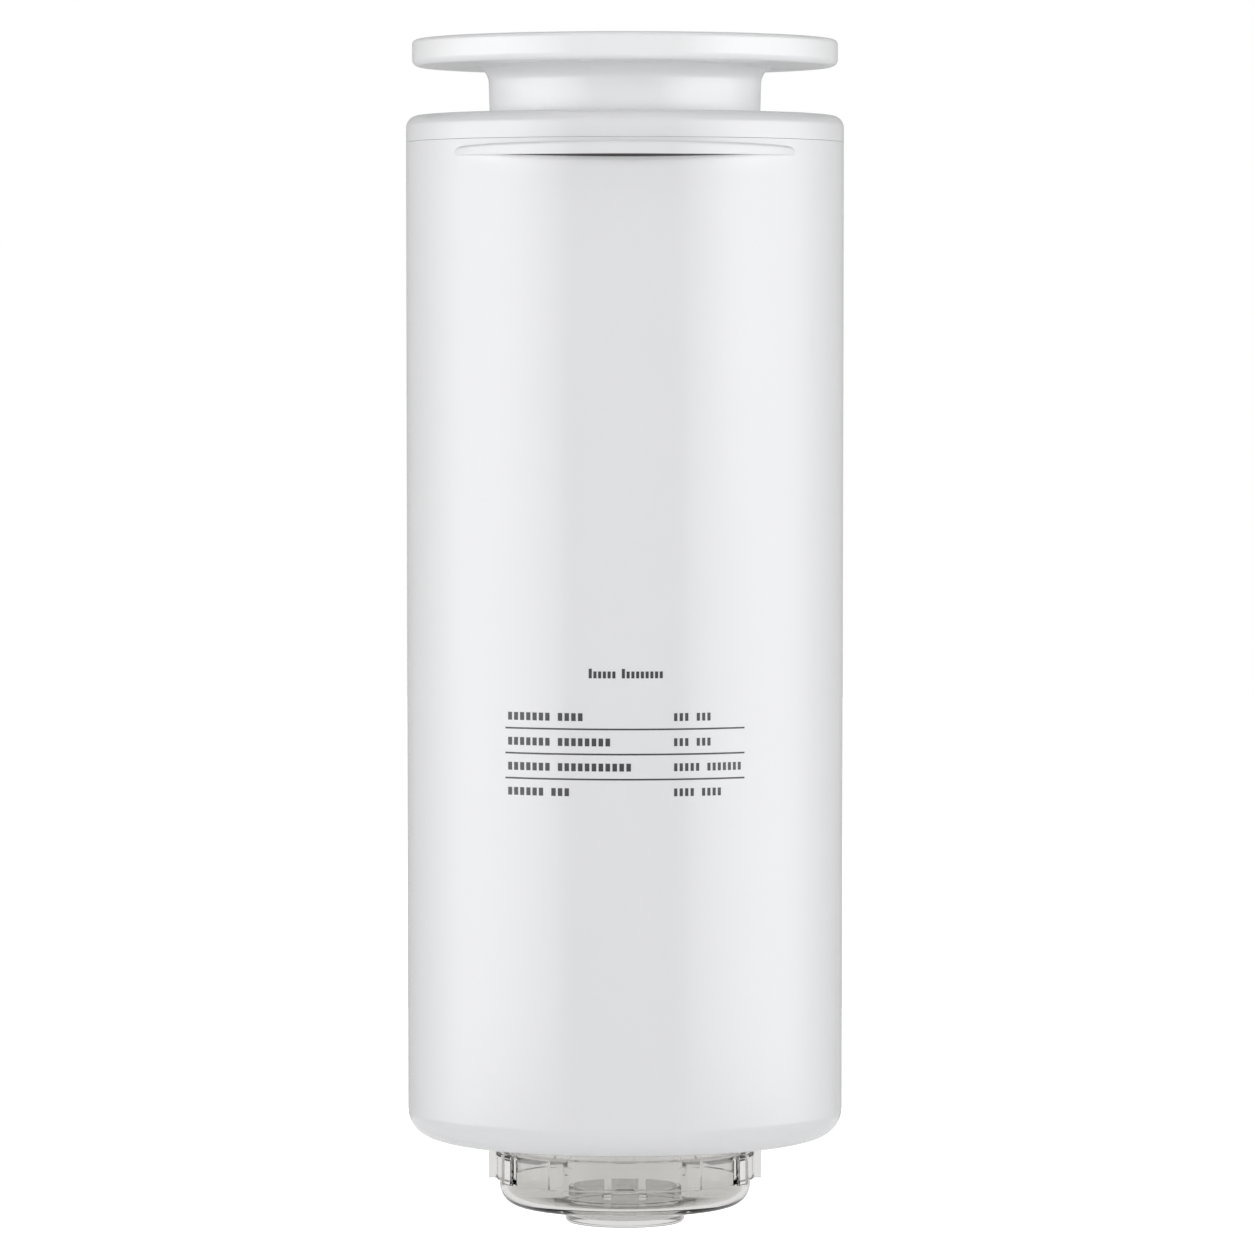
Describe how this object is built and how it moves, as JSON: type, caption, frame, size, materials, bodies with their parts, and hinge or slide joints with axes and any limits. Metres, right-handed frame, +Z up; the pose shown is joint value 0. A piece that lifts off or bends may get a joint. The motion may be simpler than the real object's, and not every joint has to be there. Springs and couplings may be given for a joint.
{
  "type": "reverse osmosis membrane cartridge",
  "caption": "Tall white round reverse osmosis cartridge with a flanged pull knob, a catch ledge, a port socket in its base and a clear ribbed screw cap over the ports.",
  "frame": {"origin": "on the cartridge's axis, in the plane of the housing's base, at the mouth of the port socket", "axes": "+Z up along the axis, from the port socket towards the knob; the catch ledge faces -Y; +X is to the right seen from the front"},
  "size_m": [0.1082, 0.1122, 0.293],
  "materials": {
    "white_housing": "glossy moulded",
    "clear_cap": "clear glossy",
    "white_core": "satin moulded",
    "grey_moulding": "satin moulded",
    "seal_rubber": "matte",
    "membrane_leaves": "matte wound sheet",
    "wrap_tape": "satin tape"
  },
  "bodies": {
    "housing": {"housing_shell": "white_housing", "end_lid": "white_housing", "handle_knob": "white_housing", "port_core": "white_core", "nozzle_seal_lower": "seal_rubber", "nozzle_seal_upper": "seal_rubber", "core_flange_seal": "seal_rubber", "brine_cup": "grey_moulding", "brine_seal": "seal_rubber", "permeate_tube": "white_core", "tube_seal_lower": "seal_rubber", "tube_seal_upper": "seal_rubber", "tube_plug": "grey_moulding", "plug_seal": "seal_rubber", "membrane_roll": "membrane_leaves", "roll_wrap": "wrap_tape", "upper_end_ring": "grey_moulding"},
    "seal": {"cap_seal": "seal_rubber"},
    "cap": {"transit_cap": "clear_cap"}
  },
  "joints": [
    {"name": "cap_draw", "type": "slide", "parent": "housing", "child": "seal", "axis": [0, 0, -1], "range_m": [0, 0.0121]},
    {"name": "cap_turn", "type": "hinge", "parent": "seal", "child": "cap", "pos_m": [0, 0, 0], "axis": [0, 0, -1], "range_deg": [0, 540]}
  ],
  "couplings": [
    {"joint": "cap_draw", "follows": "cap_turn", "m_per_rad": 0.0012732}
  ]
}
